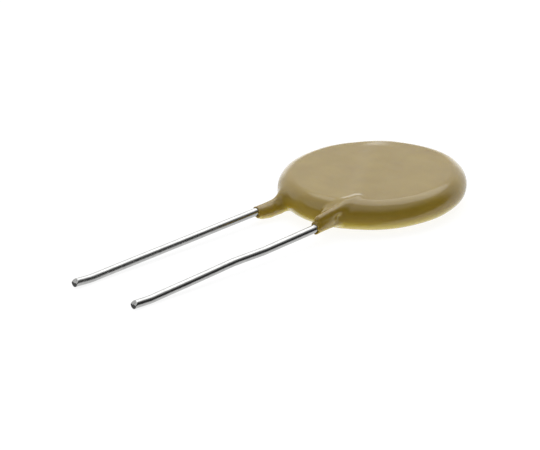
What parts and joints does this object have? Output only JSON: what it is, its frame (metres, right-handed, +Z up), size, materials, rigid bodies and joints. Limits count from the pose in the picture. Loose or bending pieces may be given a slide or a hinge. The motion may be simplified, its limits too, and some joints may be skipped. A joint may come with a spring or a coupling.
{
  "type": "varistor",
  "caption": "Disc varistor with a dipped epoxy coating over a ceramic disc and crossed straight wire leads, for clamping voltage surges.",
  "frame": {"origin": "centre of the bounding box's base, on the surface that the part lies on", "axes": "+Z up through the disc's faces, +Y from the lead tips towards the disc, +X across the two leads"},
  "size_m": [0.023, 0.0538, 0.0047],
  "materials": {
    "epoxy": "semi-gloss dipped epoxy",
    "tinned_wire": "bright tinned copper",
    "ceramic": "sintered zinc oxide",
    "silver": "fired silver print",
    "solder": "satin solder"
  },
  "bodies": {
    "root": {"coating": "epoxy", "ceramic_disc": "ceramic", "upper_electrode": "silver", "lower_electrode": "silver", "upper_solder": "solder", "lower_solder": "solder", "upper_lead": "tinned_wire", "lower_lead": "tinned_wire"}
  },
  "joints": []
}
